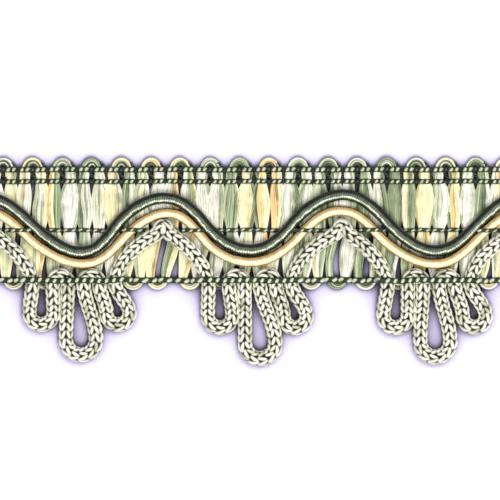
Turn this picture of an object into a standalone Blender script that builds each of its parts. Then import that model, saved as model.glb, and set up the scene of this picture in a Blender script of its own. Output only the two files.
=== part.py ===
"""Gimp braid trim, a cut length 102 mm long and 40 mm deep, lying face up.

A serpentine floss weft is held by four rows of warp yarn, each with a yarn on the
face and one on the back. A green and a gold gimp cord wave along the face, and a
knitted cord makes a pleat and a cluster of three loops below each trough.

+X runs along the trim, +Y points to its small top loops, and the back lies on Z = 0.
All sizes below are millimetres, and a mesh is turned to metres where it is made.
"""

from collections import namedtuple

import bmesh
import bpy
import numpy as np

MM = 0.001

# Whole trim
HALF_LENGTH = 51.0
CLEARANCE = 0.3

# Warp rows, from the top loops down
ROW_Y = (17.6, 15.3, 6.0, -3.5)
YARN_WIDTH = 0.6
FACE_YARN_HEIGHT = 0.5
BACK_YARN_HEIGHT = 0.45
FACE_YARN_DIP = 0.2
FACE_YARN_SLACK = 0.05
RAMP_LENGTH = 1.0
NEAREST_RAMPS = 2.0
YARN_STEP = 0.15
YARN_TOLERANCE = 0.04

# Weft: legs in pairs, each pair joined by a top loop, neighbours by a bottom loop
LOOP_COUNT = 18
LOOP_PITCH = 5.667
FIRST_LOOP_X = -48.17
TOP_LOOP_TOP = 19.8
BOTTOM_LOOP_LOW = -5.4
ARCH_STRAND = 1.0
ARCH_HEIGHT = 0.9
ARCH_STEPS = 4
PINCH_Z = BACK_YARN_HEIGHT + CLEARANCE
PINCH_HEIGHT = 0.45
PUFF_HEIGHT = 1.3
WEFT_TOP = PUFF_HEIGHT

# One row for each station down a leg: its Y, the leg's width, its distance from the
# loop's middle, the height of its underside and its thickness
LegStation = namedtuple("LegStation", "y width reach under thick")
LEG_STATIONS = (
    LegStation(18.2, 1.4, 1.53, PINCH_Z, PINCH_HEIGHT),
    LegStation(14.7, 1.7, 1.53, PINCH_Z, PINCH_HEIGHT),
    LegStation(13.5, 2.1, 1.50, 0.0, 1.2),
    LegStation(10.0, 2.2, 1.46, 0.0, PUFF_HEIGHT),
    LegStation(7.7, 2.1, 1.42, 0.0, 1.2),
    LegStation(6.6, 1.9, 1.42, PINCH_Z, PINCH_HEIGHT),
    LegStation(5.4, 1.9, 1.42, PINCH_Z, PINCH_HEIGHT),
    LegStation(4.2, 2.2, 1.40, 0.0, 1.2),
    LegStation(-1.8, 2.1, 1.36, 0.0, 1.2),
    LegStation(-2.9, 1.7, 1.34, PINCH_Z, PINCH_HEIGHT),
    LegStation(-4.1, 1.4, 1.34, PINCH_Z, PINCH_HEIGHT),
)
PUFF_Y = (2.0, 14.0)

# Legs whose floss puffs wider than the others, and by how much
WIDE_LEGS = {5: 0.30, 8: 0.20, 11: 0.20, 17: 0.30, 20: 0.30, 24: 0.25, 29: 0.20, 30: 0.30, 32: 0.30}

# Gimp cords: their middle line as crests, troughs and the slopes between
GREEN_WIDTH = 2.1
GREEN_HEIGHT = 2.0
GOLD_WIDTH = 1.8
GOLD_HEIGHT = 1.8
WavePoint = namedtuple("WavePoint", "x y slope")
GREEN_WAVE = (
    WavePoint(-51.0, 12.1, 0.0),
    WavePoint(-42.6, 7.3, -0.98),
    WavePoint(-33.4, 1.8, 0.0),
    WavePoint(-26.6, 6.4, 1.35),
    WavePoint(-17.3, 12.1, 0.0),
    WavePoint(-9.3, 7.2, -1.24),
    WavePoint(-0.7, 2.2, 0.0),
    WavePoint(7.4, 7.2, 1.2),
    WavePoint(17.2, 12.8, 0.0),
    WavePoint(25.6, 7.6, -1.1),
    WavePoint(34.6, 2.1, 0.0),
    WavePoint(41.7, 5.9, 1.05),
    WavePoint(51.0, 12.4, 0.0),
)
GOLD_WAVE = (
    WavePoint(-51.0, 9.6, 0.0),
    WavePoint(-43.2, 4.7, -0.98),
    WavePoint(-32.9, -0.4, 0.0),
    WavePoint(-25.4, 4.0, 1.15),
    WavePoint(-16.6, 9.3, 0.0),
    WavePoint(-9.7, 4.5, -1.25),
    WavePoint(-0.5, -0.1, 0.0),
    WavePoint(8.7, 4.9, 1.15),
    WavePoint(16.4, 9.7, 0.0),
    WavePoint(23.7, 5.4, -1.15),
    WavePoint(34.6, -0.4, 0.0),
    WavePoint(42.7, 4.1, 1.05),
    WavePoint(51.0, 9.4, 0.0),
)

# Knitted cord: pleats at the crests, then three hanging loops in each cluster
KNIT_WIDTH = 2.2
KNIT_HEIGHT = 2.2
CREST_X = (-51.2, -17.3, 16.9, 51.0)
CREST_APEX_Y = 6.75
CREST_NECK_Y = 5.2
CREST_NECK_HALF = 1.35
CREST_TURN = 1.0
KNUCKLE_APEX_Y = -2.85
FOOT_Y = -4.1
CLUSTER_X = (-34.4, -0.6, 33.7)
PLEAT_CORNER_IN = (-8.8, 0.9)
PLEAT_CORNER_OUT = (8.4, 1.4)
PULL_FROM_NECK = 2.2
PULL_TO_FOOT = 1.6
LOOP_FEET = ((-7.95, -4.10), (-1.20, 2.25), (4.90, 7.90))

# One row for each loop: its belly's middle from the cluster's, its radius, its tip's Y
Belly = namedtuple("Belly", "x radius tip_y")
CLUSTER_BELLIES = (
    (Belly(-6.3, 2.3, -12.1), Belly(1.3, 2.9, -17.9), Belly(8.4, 2.2, -12.1)),
    (Belly(-6.0, 2.3, -12.7), Belly(1.8, 2.9, -18.6), Belly(8.6, 2.2, -12.7)),
    (Belly(-6.4, 2.3, -12.7), Belly(1.2, 2.9, -18.3), Belly(8.7, 2.2, -12.6)),
)
FACE_LEVEL = WEFT_TOP + CLEARANCE
DROP_START_Y = -4.8
DROP_END_Y = -10.0

# How finely the cords' lines are cut into straight runs
LONGEST_RUN = 2.6
SHARPEST_TURN = np.radians(27)
CURVE_STEPS = 32
QUARTER_PULL = 1.657
SHARP_EDGE = np.radians(40)

# Cross-sections: across from -0.5 to 0.5, and up from 0 to 1, flat underneath
CORD_SECTION = ((-0.24, 0.0), (0.24, 0.0), (0.5, 0.28), (0.5, 0.66),
                (0.26, 1.0), (-0.26, 1.0), (-0.5, 0.66), (-0.5, 0.28))
FLOSS_SECTION = ((-0.40, 0.0), (0.40, 0.0), (0.5, 0.45), (0.27, 1.0), (-0.27, 1.0), (-0.5, 0.45))
YARN_SECTION = ((-0.5, 0.0), (0.5, 0.0), (0.30, 1.0), (-0.30, 1.0))


def remove_all_objects():
    """Clears the scene that the script starts in."""
    for thing in list(bpy.data.objects):
        bpy.data.objects.remove(thing, do_unlink=True)


def material(name, color, roughness):
    """A plain finish for one kind of yarn."""
    made = bpy.data.materials.new(name)
    made.use_nodes = True
    shader = made.node_tree.nodes["Principled BSDF"]
    shader.inputs["Base Color"].default_value = (*color, 1.0)
    shader.inputs["Roughness"].default_value = roughness
    shader.inputs["Metallic"].default_value = 0.0
    return made


def hermite(start, start_pull, end, end_pull):
    """Cubic from start to end, leaving and arriving along the two pulls, without its end."""
    t = np.linspace(0.0, 1.0, CURVE_STEPS, endpoint=False)[:, None]
    start, end = np.array(start), np.array(end)
    start_pull, end_pull = np.array(start_pull), np.array(end_pull)
    return ((2 * t**3 - 3 * t**2 + 1) * start + (t**3 - 2 * t**2 + t) * start_pull
            + (3 * t**2 - 2 * t**3) * end + (t**3 - t**2) * end_pull)


def chain(stops):
    """One fine line through the stops, each a point and the pull that it has there."""
    runs = [hermite(*here, *there) for here, there in zip(stops[:-1], stops[1:])]
    runs.append(np.array([stops[-1][0]]))
    return np.vstack(runs)


def wave_line(points):
    """The fine line of a gimp cord through its crests, troughs and slopes."""
    stops = []
    for number, point in enumerate(points):
        before = points[max(number - 1, 0)]
        after = points[min(number + 1, len(points) - 1)]
        span = (after.x - before.x) / (2 if 0 < number < len(points) - 1 else 1)
        stops.append(((point.x, point.y), (span, span * point.slope)))
    return chain(stops)


def arc_pull(radius, direction):
    """The pull that makes a quarter turn of this radius nearly round."""
    return QUARTER_PULL * radius * np.array(direction)


def corner_pull(start, corner, end):
    """The pulls at both ends of the curve that leaves a pleat's neck towards a corner
    point and comes from there to the foot."""
    start, corner, end = np.array(start), np.array(corner), np.array(end)
    return PULL_FROM_NECK * (corner - start), PULL_TO_FOOT * (end - corner)


def loop_line(middle, bellies):
    """The fine line of one cluster, from its first foot to its last."""
    runs = []
    for number, (feet, belly) in enumerate(zip(LOOP_FEET, bellies)):
        radius, middle_y = belly.radius, belly.tip_y + belly.radius
        left, right = middle + belly.x - radius, middle + belly.x + radius
        foot_in, foot_out = (middle + feet[0], FOOT_Y), (middle + feet[1], FOOT_Y)
        tip = (middle + belly.x, belly.tip_y)
        neck = (0.0, FOOT_Y - middle_y)
        down, up = arc_pull(radius, (0.0, -1.0)), arc_pull(radius, (0.0, 1.0))
        along = arc_pull(radius, (1.0, 0.0))
        runs.append(hermite(foot_in, (0.0, -neck[1]), (left, middle_y), (0.0, -neck[1])))
        runs.append(hermite((left, middle_y), down, tip, along))
        runs.append(hermite(tip, along, (right, middle_y), up))
        runs.append(hermite((right, middle_y), neck, foot_out, neck))
        if number < len(bellies) - 1:
            next_foot = (middle + LOOP_FEET[number + 1][0], FOOT_Y)
            half = (next_foot[0] - foot_out[0]) / 2
            apex = (foot_out[0] + half, KNUCKLE_APEX_Y)
            across = arc_pull(half, (1.0, 0.0))
            runs.append(hermite(foot_out, arc_pull(half, (0.0, 1.0)), apex, across))
            runs.append(hermite(apex, across, next_foot, arc_pull(half, (0.0, -1.0))))
    return np.vstack(runs)


def pleat_down(crest_x, middle, whole):
    """From a crest's apex, or from its neck at the cut end, down to a cluster's first foot."""
    neck = (crest_x + CREST_NECK_HALF, CREST_NECK_Y)
    corner = (middle + PLEAT_CORNER_IN[0], PLEAT_CORNER_IN[1])
    foot = (middle + LOOP_FEET[0][0], FOOT_Y)
    leave, arrive = corner_pull(neck, corner, foot)
    runs = [hermite(neck, leave, foot, arrive)]
    if whole:
        turn = leave / np.linalg.norm(leave)
        apex = (crest_x, CREST_APEX_Y)
        runs.insert(0, hermite(apex, arc_pull(CREST_TURN, (1.0, 0.0)), neck, arc_pull(CREST_TURN, turn)))
    return np.vstack(runs)


def pleat_up(middle, crest_x, whole):
    """From a cluster's last foot up to the next crest's apex, or its neck at the cut end."""
    neck = (crest_x - CREST_NECK_HALF, CREST_NECK_Y)
    corner = (middle + PLEAT_CORNER_OUT[0], PLEAT_CORNER_OUT[1])
    foot = (middle + LOOP_FEET[-1][1], FOOT_Y)
    arrive, leave = corner_pull(neck, corner, foot)
    runs = [hermite(foot, -leave, neck, -arrive)]
    if whole:
        turn = -arrive / np.linalg.norm(arrive)
        apex = (crest_x, CREST_APEX_Y)
        runs.append(hermite(neck, arc_pull(CREST_TURN, turn), apex, arc_pull(CREST_TURN, (1.0, 0.0))))
    else:
        runs.append(np.array([neck]))
    return np.vstack(runs)


def knitted_line():
    """The fine line of the knitted cord, crest to crest through every cluster."""
    runs = []
    last = len(CLUSTER_X) - 1
    for number, (middle, bellies) in enumerate(zip(CLUSTER_X, CLUSTER_BELLIES)):
        runs.append(pleat_down(CREST_X[number], middle, number > 0))
        runs.append(loop_line(middle, bellies))
        runs.append(pleat_up(middle, CREST_X[number + 1], number < last))
    return np.vstack(runs)


def knitted_under(line):
    """The underside's height: on the weft's face above, eased down to rest below it."""
    t = np.clip((DROP_START_Y - line[:, 1]) / (DROP_START_Y - DROP_END_Y), 0.0, 1.0)
    return FACE_LEVEL * (1.0 - t * t * (3.0 - 2.0 * t))


def thin_out(line):
    """Keeps a point of a fine line at each turn or run that is long enough."""
    kept = [0]
    heading = np.arctan2(*(line[1] - line[0])[[1, 0]])
    for number in range(1, len(line) - 1):
        step = line[number + 1] - line[number]
        turned = np.arctan2(step[1], step[0]) - heading
        turned = abs((turned + np.pi) % (2 * np.pi) - np.pi)
        run = np.linalg.norm(line[number] - line[kept[-1]])
        if turned > SHARPEST_TURN or run > LONGEST_RUN:
            kept.append(number)
            heading = np.arctan2(step[1], step[0])
    kept.append(len(line) - 1)
    return kept


def crossings(line, row_y, width):
    """Where a cord crosses a row: the middle, and the half length that it covers there,
    which is half its width over the sine of its slope, and half the yarn's width over the
    slope's tangent."""
    found = []
    for here, there in zip(line[:-1], line[1:]):
        if (here[1] - row_y) * (there[1] - row_y) < 0:
            step = there - here
            share = (row_y - here[1]) / step[1]
            slant = abs(step[1]) / np.linalg.norm(step)
            lean = abs(step[0]) / abs(step[1])
            found.append((here[0] + share * step[0], width / 2 / slant + YARN_WIDTH / 2 * lean))
    return found


def merged(spans, nearest):
    """Joins the raised stretches of a row that lie nearer than this to each other."""
    joined = []
    for start, end, top in sorted(spans):
        if joined and start - joined[-1][1] < nearest:
            joined[-1][1] = max(end, joined[-1][1])
            joined[-1][2] = max(top, joined[-1][2])
        else:
            joined.append([start, end, top])
    return joined


def simplified(line, tolerance):
    """The fewest points that keep a line within the tolerance, found by halving."""
    if len(line) < 3:
        return line
    share = (line[:, 0] - line[0, 0]) / (line[-1, 0] - line[0, 0])
    off = np.abs(line[:, 1] - line[0, 1] - share * (line[-1, 1] - line[0, 1]))
    worst = int(np.argmax(off))
    if off[worst] < tolerance:
        return line[[0, -1]]
    return np.vstack([simplified(line[:worst + 1], tolerance)[:-1],
                      simplified(line[worst:], tolerance)])


def leg_places(reach):
    """X of every leg, two to a loop, this far from the loop's middle."""
    middles = FIRST_LOOP_X + LOOP_PITCH * np.arange(LOOP_COUNT)
    return np.stack([middles - reach, middles + reach], axis=1).ravel()


def face_yarn_line(row_y, reach, cords):
    """X and underside of a face yarn: over the legs, dipping between, up over the cords."""
    legs = leg_places(reach)
    gaps = (legs[:-1] + legs[1:]) / 2
    stops = np.concatenate([[-HALF_LENGTH], legs, gaps, [HALF_LENGTH]])
    dips = np.concatenate([[0.0], np.zeros(len(legs)), np.full(len(gaps), FACE_YARN_DIP), [0.0]])
    order = np.argsort(stops)
    rest = PINCH_Z + PINCH_HEIGHT + CLEARANCE + FACE_YARN_SLACK
    count = int(round(2 * HALF_LENGTH / YARN_STEP)) + 1
    x = np.union1d(np.linspace(-HALF_LENGTH, HALF_LENGTH, count), stops)
    under = rest - np.interp(x, stops[order], dips[order])
    spans = []
    for line, width, height in cords:
        for middle, half in crossings(line, row_y, width):
            spans.append((middle - half, middle + half, FACE_LEVEL + height))
    for start, end, top in merged(spans, NEAREST_RAMPS):
        outside = np.maximum(np.maximum(start - x, x - end), 0.0)
        raised = top + CLEARANCE - (top + CLEARANCE - rest) * np.minimum(outside / RAMP_LENGTH, 1.0)
        under = np.where(outside < RAMP_LENGTH, np.maximum(under, raised), under)
    return simplified(np.stack([x, under], axis=1), YARN_TOLERANCE)


def tube(name, under_line, widths, heights, section, finish, heading=None):
    """One closed solid: the section carried along the line of its underside's middle."""
    line = np.asarray(under_line, dtype=float)
    if heading is None:
        heading = np.gradient(line, axis=0)
    heading = heading / np.linalg.norm(heading, axis=1)[:, None]
    across = np.cross(heading, (0.0, 0.0, 1.0))
    across /= np.linalg.norm(across, axis=1)[:, None]
    up = np.cross(across, heading)
    mesh = bmesh.new()
    rings = []
    for place, side, lift, width, height in zip(line, across, up, widths, heights):
        ring = [mesh.verts.new(MM * (place + a * width * side + b * height * lift)) for a, b in section]
        rings.append(ring)
    for ring, following in zip(rings[:-1], rings[1:]):
        for corner in range(len(section)):
            beside = (corner + 1) % len(section)
            mesh.faces.new((ring[corner], ring[beside], following[beside], following[corner]))
    mesh.faces.new(rings[0])
    mesh.faces.new(rings[-1])
    bmesh.ops.recalc_face_normals(mesh, faces=mesh.faces)
    data = bpy.data.meshes.new(name)
    mesh.to_mesh(data)
    mesh.free()
    data.materials.append(finish)
    data.shade_smooth()
    data.set_sharp_from_angle(angle=SHARP_EDGE)
    thing = bpy.data.objects.new(name, data)
    bpy.context.scene.collection.objects.link(thing)
    return thing


def leg_stops(number):
    """One leg from the top down: X, Y, underside, width and thickness at each station."""
    middle = FIRST_LOOP_X + LOOP_PITCH * (number // 2)
    side = 1 if number % 2 else -1
    extra = WIDE_LEGS.get(number, 0.0)
    stops = []
    for station in LEG_STATIONS:
        puffed = station.width + (extra if PUFF_Y[0] < station.y < PUFF_Y[1] else 0.0)
        stops.append((middle + side * station.reach, station.y, station.under, puffed, station.thick))
    return stops


def arch_stops(left_x, right_x, spring_y, reach_y):
    """The narrow strand of a loop, left to right, round from one leg to the next."""
    middle, half = (left_x + right_x) / 2, (right_x - left_x) / 2
    turns = np.pi * (1 - np.arange(1, ARCH_STEPS) / ARCH_STEPS)
    rise = reach_y - spring_y
    return [(middle + half * np.cos(turn), spring_y + rise * np.sin(turn), 0.0, ARCH_STRAND, ARCH_HEIGHT)
            for turn in turns]


def make_weft(finish):
    """The serpentine floss, up and down the legs and round the loops, in one solid."""
    stops = []
    top, low = LEG_STATIONS[0], LEG_STATIONS[-1]
    for number in range(2 * LOOP_COUNT):
        leg = leg_stops(number)
        if number % 2:
            stops += leg
            if number < 2 * LOOP_COUNT - 1:
                right_x = leg[-1][0] + LOOP_PITCH - 2 * low.reach
                stops += arch_stops(leg[-1][0], right_x, low.y, BOTTOM_LOOP_LOW + ARCH_STRAND / 2)
        else:
            stops += leg[::-1]
            right_x = leg[0][0] + 2 * top.reach
            stops += arch_stops(leg[0][0], right_x, top.y, TOP_LOOP_TOP - ARCH_STRAND / 2)
    stops = np.array(stops)
    return tube("weft", stops[:, :3], stops[:, 3], stops[:, 4], FLOSS_SECTION, finish)


def make_warp(cords, finish):
    """A back yarn and a face yarn for each row."""
    for number, row_y in enumerate(ROW_Y, start=1):
        ends = np.array([(-HALF_LENGTH, row_y, 0.0), (HALF_LENGTH, row_y, 0.0)])
        widths, heights = [YARN_WIDTH] * 2, [BACK_YARN_HEIGHT] * 2
        tube(f"warp_{number}_back", ends, widths, heights, YARN_SECTION, finish)
        reach = np.interp(-row_y, [-s.y for s in LEG_STATIONS], [s.reach for s in LEG_STATIONS])
        flat = face_yarn_line(row_y, reach, cords if number > 2 else ())
        line = np.stack([flat[:, 0], np.full(len(flat), row_y), flat[:, 1]], axis=1)
        widths, heights = [YARN_WIDTH] * len(line), [FACE_YARN_HEIGHT] * len(line)
        tube(f"warp_{number}_face", line, widths, heights, YARN_SECTION, finish)


def make_cord(name, line, under, width, height, finish):
    """A round cord along its line, flat underneath where it lies."""
    kept = thin_out(line)
    fine = np.column_stack([line, under])
    heading = np.gradient(fine, axis=0)[kept]
    path = fine[kept]
    widths, heights = [width] * len(path), [height] * len(path)
    return tube(name, path, widths, heights, CORD_SECTION, finish, heading)


def make_trim():
    """All pieces of the trim."""
    floss = material("floss", (0.80, 0.74, 0.52), 0.45)
    sage = material("sage_yarn", (0.20, 0.24, 0.15), 0.55)
    green = material("green_gimp", (0.16, 0.20, 0.12), 0.40)
    gold = material("gold_gimp", (0.72, 0.50, 0.24), 0.40)
    knit = material("knit", (0.62, 0.62, 0.46), 0.60)
    green_line, gold_line, knit_line = wave_line(GREEN_WAVE), wave_line(GOLD_WAVE), knitted_line()
    cords = ((green_line, GREEN_WIDTH, GREEN_HEIGHT),
             (gold_line, GOLD_WIDTH, GOLD_HEIGHT),
             (knit_line, KNIT_WIDTH, KNIT_HEIGHT))
    make_weft(floss)
    make_warp(cords, sage)
    level_green = np.full(len(green_line), FACE_LEVEL)
    level_gold = np.full(len(gold_line), FACE_LEVEL)
    make_cord("green_gimp_cord", green_line, level_green, GREEN_WIDTH, GREEN_HEIGHT, green)
    make_cord("gold_gimp_cord", gold_line, level_gold, GOLD_WIDTH, GOLD_HEIGHT, gold)
    make_cord("knitted_cord", knit_line, knitted_under(knit_line), KNIT_WIDTH, KNIT_HEIGHT, knit)


remove_all_objects()
make_trim()
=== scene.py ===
"""Gimp braid trim, dressed: floss legs and loops, twisted warp yarns, two wrapped
gimp cords and a knitted cord, lying face up on a white floor.

Sizes are millimetres, as in the solids, and every mesh is turned to metres where it
is made. +X runs along the trim, +Y points to its small top loops, and +Z faces up.
"""

from collections import namedtuple

import bpy
import numpy as np
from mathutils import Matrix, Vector


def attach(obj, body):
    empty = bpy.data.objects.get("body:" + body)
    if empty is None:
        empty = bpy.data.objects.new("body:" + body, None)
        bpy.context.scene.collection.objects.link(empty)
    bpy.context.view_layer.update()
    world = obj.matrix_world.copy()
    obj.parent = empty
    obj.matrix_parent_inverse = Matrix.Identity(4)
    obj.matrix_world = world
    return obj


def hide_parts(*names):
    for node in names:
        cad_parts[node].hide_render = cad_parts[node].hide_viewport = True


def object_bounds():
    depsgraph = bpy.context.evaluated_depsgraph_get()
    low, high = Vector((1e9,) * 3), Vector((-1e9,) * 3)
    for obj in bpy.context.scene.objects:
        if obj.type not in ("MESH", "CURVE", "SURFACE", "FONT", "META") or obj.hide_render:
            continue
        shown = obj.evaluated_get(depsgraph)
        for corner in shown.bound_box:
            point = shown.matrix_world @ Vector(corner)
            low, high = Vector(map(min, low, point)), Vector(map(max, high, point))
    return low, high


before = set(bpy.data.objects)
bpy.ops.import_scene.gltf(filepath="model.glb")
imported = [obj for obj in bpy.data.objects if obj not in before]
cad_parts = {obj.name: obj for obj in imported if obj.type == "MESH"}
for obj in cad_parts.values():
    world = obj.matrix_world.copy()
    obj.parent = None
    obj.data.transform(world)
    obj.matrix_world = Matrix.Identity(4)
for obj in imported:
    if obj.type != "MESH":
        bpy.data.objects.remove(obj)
cad_low, cad_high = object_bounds()

MM = 0.001
HALF_LENGTH = 1000 * cad_high.x

# Camera: the photo's frame is square, and this wide at the trim
PHOTO_WIDTH = 95.9
PHOTO_MIDDLE = (-0.65, 2.2)
CAMERA_HEIGHT = 0.9
FACE_HEIGHT = 2.0

# Warp rows, from the top loops down: their place, the radius of their plies, and how far
# from the middle of a leg the plies bulge to each side
ROW_Y = (17.65, 15.35, 6.0, -3.6)
ROW_PLIES = (0.44, 0.38, 0.30, 0.46)
ROW_BULGES = (0.47, 0.47, 0.70, 0.70)
WARP_POINTS = 841

# Shares of a ply's radius: its distance from the yarn's middle, how far it narrows between
# two bulges, and the dark yarn's half width and half height
PLY_OFFSET = 0.35
PLY_WAIST = 0.62
DARK_WIDE = 1.2
DARK_HIGH = 0.95

# The pinched floss under a face yarn, and the yarn's own height over the floss and over a
# cord, its dip between two legs and its ramp up to a cord
PINCH_TOP = 1.20
YARN_OVER_FLOSS = 0.36
YARN_OVER_CORD = 0.33
DIP_DEPTH = 0.85
DIP_FROM_LEG = 0.62
DIP_RAMP = 0.55
CORD_RAMP = 0.9
NEAR_CORDS = 1.5
CROSSING_DROOP = 0.12

# Two-ply yarns: the radius of a ply, its distance from the middle and the length of a turn
TwoPly = namedtuple("TwoPly", "ply offset pitch")
BACK_YARN = TwoPly(0.14, 0.11, 1.6)
BACK_YARN_HEIGHT = 0.26
LINK_YARN = TwoPly(0.19, 0.15, 1.3)
LINK_STEP = 0.14
LINK_SHOULDER = ((1.45, 18.95, 0.9), (1.95, 18.55, 1.05), (2.35, 18.0, 1.1), (2.65, 17.3, 1.0),
                 (2.80, 16.5, 0.9), (2.78, 15.3, 0.8))
LINK_ACROSS = ((-0.75, 17.4, 1.2), (-0.35, 17.0, 0.95), (0.1, 16.5, 0.85), (0.45, 16.0, 0.9),
               (0.75, 15.5, 1.15))

# Weft
LOOP_COUNT = 18
LOOP_PITCH = 5.667
FIRST_LOOP_X = -48.02
TOP_LOOP_TOP = 19.95
BOTTOM_LOOP_LOW = -5.4
REACH_TOP = 1.53
REACH_MIDDLE = 1.42
REACH_LOW = 1.42

# A leg's floss between two rows: half its width at each row, and where it puffs widest
Span = namedtuple("Span", "pinches puff stations")
LEG_SPANS = (Span((0.82, 0.82), 0.86, 5), Span((0.80, 0.84), 1.56, 12), Span((0.80, 0.60), 1.30, 12))
LEG_BOW = 0.45
LEG_BEHIND = 0.16
LEG_FIBRE_SPACING = 0.16
LOOP_FIBRE_SPACING = 0.15

# A lock of floss: its half height at a row and what it gains where it puffs, how far its
# fibres twist and it slides sideways, and how far it stays above the floor
LOCK_THIN = 0.20
LOCK_GAIN = 0.50
LOCK_TWIST = 0.7
LOCK_SLIDE = 0.6
LOCK_CLEARANCE = 0.12

# Its core, as a share of its own size, and its fibres: how far they sway round it and stand off it,
# their half width for each millimetre between them, and their tone, which falls from the leg's middle
# to its edges as painted shade, less a random spread
CORE_SHARE = 0.9
CORE_TONE = 0.3
FIBRE_SWAY = 0.14
FIBRE_FREEDOM = 0.06
FIBRE_HALF = 0.55
TONE_IN_MIDDLE = 1.05
TONE_FALL = 1.2
TONE_SPREAD = 0.55

# Loops: how far they stand out beside their legs' middles, how far the outermost strand is
# set in, and the step in and down to each next one
TOP_LOOP_SHOULDER = 0.48
LOW_LOOP_SHOULDER = 0.55
STRAND_INSET = 0.20
STRAND_STEP = 0.35
STRAND_DROP = 0.12
OUTER_STRAND_HALF = 0.21
STRAND_HALF = 0.16

# Gimp cords, each through its crests, troughs and slopes
WRAP = 0.44
WRAP_RIDGE = 0.07
GIMP_SIDES = 20
GIMP_SWELLS = ((0.02, 2.3, 0.0), (0.015, 0.71, 2.0))
GREEN_RADIUS = 1.10
GOLD_RADIUS = 0.95
GREEN_WAVE = (
    (-51.0, 12.15, 0.0), (-42.65, 7.3, -0.98), (-33.4, 1.8, 0.0), (-26.65, 6.4, 1.35),
    (-17.3, 12.15, 0.0), (-9.3, 7.2, -1.24), (-0.65, 2.2, 0.0), (7.4, 7.2, 1.2),
    (17.2, 12.8, 0.0), (25.6, 7.6, -1.1), (34.6, 2.05, 0.0), (41.7, 5.85, 1.05),
    (51.0, 12.4, 0.0),
)
GOLD_WAVE = (
    (-51.0, 9.6, 0.0), (-43.2, 4.7, -0.98), (-32.9, -0.4, 0.0), (-25.4, 4.0, 1.15),
    (-16.6, 9.3, 0.0), (-9.65, 4.5, -1.25), (-0.45, -0.1, 0.0), (8.75, 4.9, 1.15),
    (16.4, 9.7, 0.0), (23.7, 5.4, -1.15), (34.6, -0.45, 0.0), (42.7, 4.1, 1.05),
    (51.0, 9.4, 0.0),
)

# Middle of the gap between them at each crest, and how high, how wide and how far along
# the floss bulges up in it
GIMP_GAPS = ((-51.0, 10.75), (-17.0, 10.65), (16.9, 11.15), (51.0, 10.8))
GAP_BULGE = 0.6
GAP_HALF = 0.5
GAP_REACH = 5.0
GAP_CURVE = 0.07

# Knitted cord
KNIT_HALF_ACROSS = 1.52
KNIT_HALF_UP = 1.28
CREST_X = (-51.2, -17.3, 16.9, 51.0)
CREST_APEX_Y = 6.85
CREST_NECK_Y = 5.2
CREST_NECK_HALF = 1.35
KNUCKLE_APEX_Y = -2.75
FOOT_Y = -4.1
CLUSTER_X = (-34.4, -0.6, 33.7)
PLEAT_CORNER_IN = (-8.8, 0.9)
PLEAT_CORNER_OUT = (8.4, 1.4)
PLEAT_LEAVE = 2.2
PLEAT_ARRIVE = 1.6
QUARTER_PULL = 1.657
LOOP_FEET = ((-7.95, -4.10), (-1.15, 1.85), (4.85, 7.90))
CLUSTER_BELLIES = (
    ((-6.3, 2.3, -12.1), (1.3, 2.9, -17.9), (8.4, 2.2, -12.1)),
    ((-5.8, 2.35, -12.7), (1.9, 2.9, -18.6), (8.6, 2.2, -12.7)),
    ((-6.4, 2.35, -12.7), (1.2, 2.9, -18.3), (8.7, 2.2, -12.6)),
)
DROP_START_Y = -4.8
DROP_END_Y = -10.0
FACE_LEVEL = 1.55
STITCH_WALES = 4
STITCH_PITCH = 1.5
STITCH_RISE = 1.35
STITCH_YARN = 0.39
STITCH_HALF_UP = 0.27
STITCH_THIN_END = 0.24
STITCH_FEET = 0.06
STITCH_SPREAD = 0.40
STITCH_SLIP = 0.05
STITCH_DEPTH = 0.30
STITCH_DIVE = 0.06
FIRST_STITCH = 0.1
WALE_WANDER = 0.12
WALE_WANDER_LENGTH = 7.0
STITCH_STATIONS = 8
STITCH_SIDES = 6
KNIT_STEP = 0.1
# How far the near-black core, painted shade inside the cord, lies in from the stitches' outside
KNIT_SHADE_CORE_INSET = 0.55

# Floss: its light colour, the shade of its darkest fibres, and the colour that strays into it
Floss = namedtuple("Floss", "name light shade stray")
FLOSS = {
    "w": Floss("ivory", (0.98, 0.97, 0.86), (0.40, 0.42, 0.28), "l"),
    "y": Floss("yellow", (0.97, 0.91, 0.54), (0.52, 0.45, 0.18), "w"),
    "g": Floss("gold", (0.93, 0.72, 0.32), (0.42, 0.26, 0.06), "y"),
    "l": Floss("pale_green", (0.60, 0.67, 0.40), (0.20, 0.25, 0.12), "w"),
    "s": Floss("sage", (0.31, 0.39, 0.21), (0.08, 0.11, 0.05), "l"),
    "d": Floss("olive", (0.085, 0.115, 0.050), (0.02, 0.03, 0.012), "s"),
}
STRAY_SHARE = 0.20
FLOSS_ROUGHNESS = 0.35

# Noise over the threads, in cycles to the metre: soft patches and fine fuzz
PATCH_SCALE = 420.0
FUZZ_SCALE = 5200.0
GIMP_SWAY_SCALE = 900.0
GIMP_PATCH_SCALE = 1100.0

# The other threads: light colour, shade and roughness
THREADS = {
    "sage_yarn": ((0.60, 0.70, 0.45), (0.16, 0.22, 0.11), 0.45),
    "dark_yarn": ((0.030, 0.042, 0.020), (0.008, 0.012, 0.005), 0.5),
    "link_yarn": ((0.050, 0.070, 0.035), (0.012, 0.018, 0.008), 0.5),
    "knit_yarn": ((0.94, 0.96, 0.75), (0.42, 0.45, 0.27), 0.4),
    # The knit's near-black core is painted shade seen through the holes between stitches
    "knit_shade_core": ((0.016, 0.018, 0.009), (0.008, 0.009, 0.005), 0.8),
}
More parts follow.
